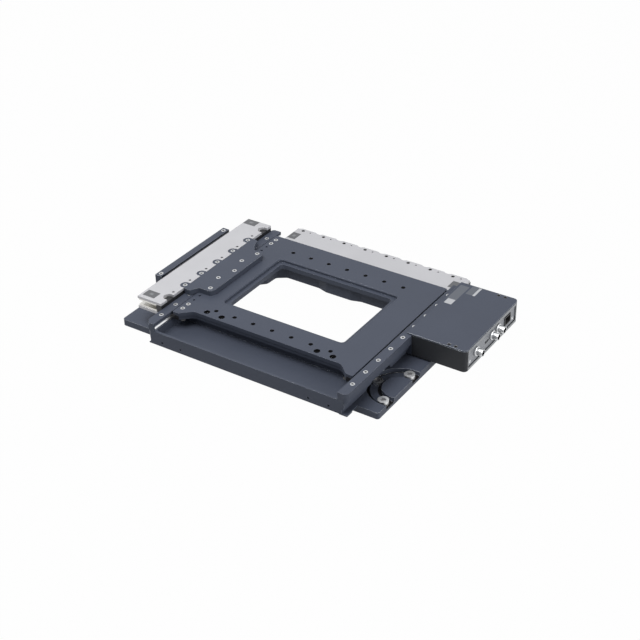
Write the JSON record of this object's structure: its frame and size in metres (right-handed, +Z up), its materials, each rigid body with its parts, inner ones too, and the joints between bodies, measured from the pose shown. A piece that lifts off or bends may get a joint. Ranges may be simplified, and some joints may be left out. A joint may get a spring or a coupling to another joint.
{
  "type": "motorized xy stage",
  "caption": "Low motorized XY stage: base plate, X frame with front tray, top plate with stepped insert opening, linear-motor tracks and side controller box.",
  "frame": {"origin": "centre of the base's bolt pattern, on the base's underside, straight below the middle of the insert opening", "axes": "+X along the long side towards the controller box, +Y away from the front tray towards the rear magnet track, +Z up out of the top plate"},
  "size_m": [0.389, 0.2857, 0.042],
  "materials": {
    "black_anodised": "satin black anodised",
    "box": "matt black",
    "panel": "satin grey anodised",
    "track_plate": "satin nickel-plated steel",
    "ground_steel": "ground",
    "bright_screw": "bright stainless",
    "black_screw": "black oxide",
    "magnet": "nickel plated",
    "coil": "black cast resin",
    "plastic": "moulded black",
    "cage": "rolled strip",
    "scale": "fine ruled strip",
    "board": "solder resist",
    "bumper": "moulded"
  },
  "bodies": {
    "base": {"base_plate": "black_anodised", "arc_screws": "bright_screw", "x_rail_front_fixed": "ground_steel", "x_rail_rear_fixed": "ground_steel", "x_fixed_rail_screws": "bright_screw", "x_track_lower": "track_plate", "x_track_upper": "track_plate", "x_track_spacer": "black_anodised", "x_track_magnets": "magnet", "x_track_screws": "black_screw", "x_encoder_scale": "scale", "x_stop_pin": "ground_steel"},
    "x_cage_set": {"x_cages": "cage", "x_rollers": "ground_steel"},
    "x_carriage": {"x_frame": "black_anodised", "x_rail_front_moving": "ground_steel", "x_rail_rear_moving": "ground_steel", "x_moving_rail_screws": "bright_screw", "y_rail_left_fixed": "ground_steel", "y_rail_right_fixed": "ground_steel", "clamp_bar_left": "black_anodised", "clamp_bar_right": "black_anodised", "clamp_bar_screws": "bright_screw", "x_coil": "coil", "x_coil_bar": "black_anodised", "y_coil": "coil", "y_coil_bar": "black_anodised", "y_coil_arm": "black_anodised", "coil_bar_screws": "bright_screw", "arm_screws": "bright_screw", "controller_housing": "box", "controller_cover": "black_anodised", "cover_screws": "black_screw", "connector_panel": "panel", "panel_screws": "bright_screw", "connector_sockets": "bright_screw", "connector_nuts": "bright_screw", "signal_jack": "plastic", "circuit_board": "board", "x_encoder_head": "plastic", "y_encoder_head": "plastic", "y_stop_pin": "ground_steel"},
    "y_cage_set": {"y_cages": "cage", "y_rollers": "ground_steel"},
    "y_carriage": {"top_plate": "black_anodised", "y_rail_left_moving": "ground_steel", "y_rail_right_moving": "ground_steel", "y_moving_rail_screws": "bright_screw", "plate_screws": "bright_screw", "rail_end_stops": "black_screw", "track_bracket": "black_anodised", "bracket_screws": "bright_screw", "y_track_upper": "track_plate", "y_track_lower": "track_plate", "y_track_spacer": "black_anodised", "y_track_magnets": "magnet", "y_track_screws": "black_screw", "y_encoder_scale": "scale", "corner_bumpers": "bumper"}
  },
  "joints": [
    {"name": "x_slide", "type": "slide", "parent": "base", "child": "x_carriage", "axis": [1, 0, 0], "range_m": [-0.065, 0.065]},
    {"name": "x_cage_slide", "type": "slide", "parent": "base", "child": "x_cage_set", "axis": [1, 0, 0], "range_m": [-0.0325, 0.0325]},
    {"name": "y_slide", "type": "slide", "parent": "x_carriage", "child": "y_carriage", "axis": [0, 1, 0], "range_m": [-0.035, 0.065]},
    {"name": "y_cage_slide", "type": "slide", "parent": "x_carriage", "child": "y_cage_set", "axis": [0, 1, 0], "range_m": [-0.0175, 0.0325]}
  ],
  "couplings": [
    {"joint": "x_cage_slide", "follows": "x_slide", "ratio": 0.5},
    {"joint": "y_cage_slide", "follows": "y_slide", "ratio": 0.5}
  ]
}
